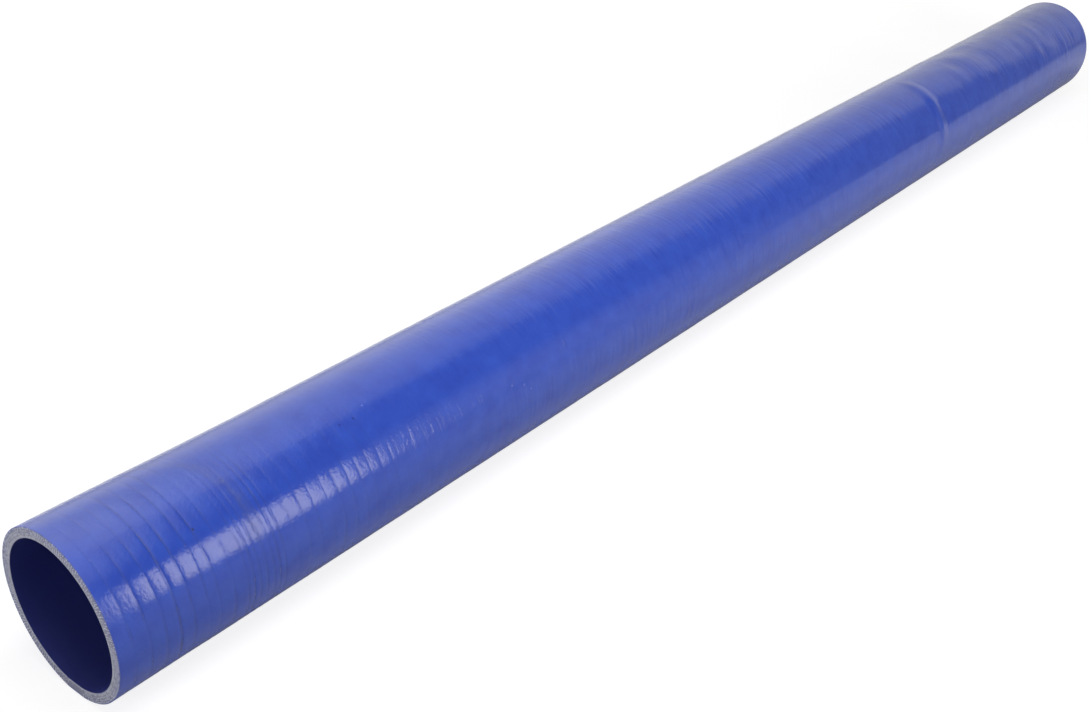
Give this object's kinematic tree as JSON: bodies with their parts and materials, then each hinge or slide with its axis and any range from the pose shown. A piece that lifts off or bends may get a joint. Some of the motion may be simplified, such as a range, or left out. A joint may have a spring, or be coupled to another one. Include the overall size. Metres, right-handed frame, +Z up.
{
  "type": "silicone hose",
  "caption": "Straight length of fabric-reinforced silicone hose with an open round bore and square cut ends, lying on its side.",
  "frame": {"origin": "on the surface that the hose lies on, below the middle of its length and of its width", "axes": "+X along the hose, towards the end with the tape ridge; +Z up, away from the surface; -Y towards the side that the ridge crosses"},
  "size_m": [1, 0.0773, 0.078],
  "materials": {
    "silicone": "glossy blue silicone rubber with the faint print of wrapping tape, smooth dark blue in the bore",
    "ply_yarn": "pale grey cut plies with the ends of white yarns, on the two cut faces"
  },
  "bodies": {
    "root": {"hose": "silicone"}
  },
  "joints": []
}
